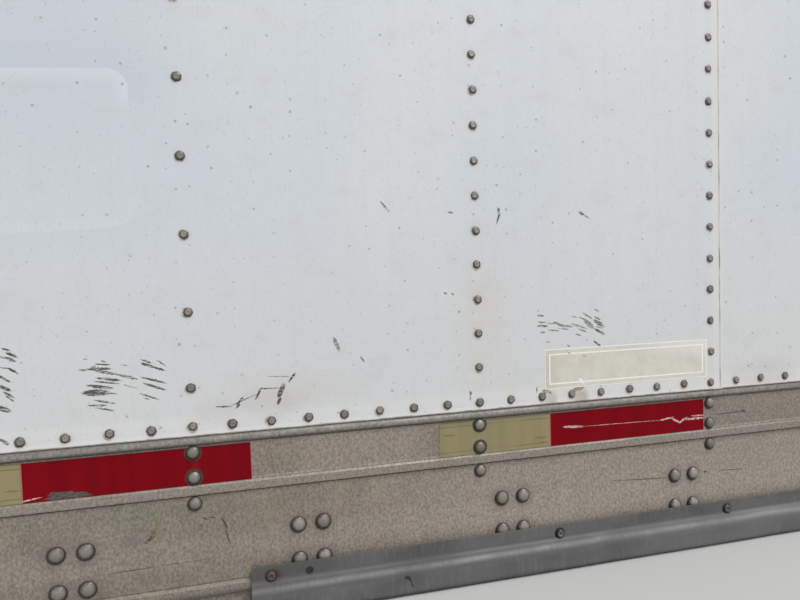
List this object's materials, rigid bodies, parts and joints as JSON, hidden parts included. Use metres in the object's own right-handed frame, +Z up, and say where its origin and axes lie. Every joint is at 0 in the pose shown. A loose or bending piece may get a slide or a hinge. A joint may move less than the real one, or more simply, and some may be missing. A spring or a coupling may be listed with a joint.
{
  "type": "semi trailer side wall section",
  "caption": "Full-height piece of an insulated semi trailer side wall: riveted white skin, posts, foam, liner, extruded rails, crossmember clips and a guard bar.",
  "frame": {"origin": "centre of the four crossmember bolt holes in the stem of the middle clip", "axes": "+X along the wall, to the right as seen from outside; +Y into the trailer, through the wall; +Z up"},
  "size_m": [1.6656, 0.1193, 3.0028],
  "materials": {
    "rail_aluminium": "weathered mill finish",
    "post_aluminium": "mill finish",
    "foam": "cut rigid foam",
    "white_skin": "weathered white enamel",
    "liner": "pebbled white laminate",
    "scuff_aluminium": "scuffed mill finish",
    "clip_steel": "black underbody coating",
    "galvanised_steel": "dull galvanised",
    "tape_white": "aged reflective film",
    "tape_red": "reflective film",
    "fastener_steel": "dull plated",
    "screw_steel": "dark, partly rusted"
  },
  "bodies": {
    "root": {"bottom_rail": "rail_aluminium", "top_rail": "rail_aluminium", "post_1": "post_aluminium", "post_2": "post_aluminium", "post_3": "post_aluminium", "post_4": "post_aluminium", "post_5": "post_aluminium", "foam_1": "foam", "foam_2": "foam", "foam_3": "foam", "foam_4": "foam", "foam_5": "foam", "skin_long": "white_skin", "skin_short": "white_skin", "liner": "liner", "scuff_band": "scuff_aluminium", "clip_1": "clip_steel", "clip_2": "clip_steel", "clip_3": "clip_steel", "clip_4": "clip_steel", "clip_5": "clip_steel", "guard_bar": "galvanised_steel", "tape_white_1": "tape_white", "tape_red_2": "tape_red", "tape_white_3": "tape_white", "tape_red_4": "tape_red", "tape_white_5": "tape_white"}
  },
  "joints": []
}
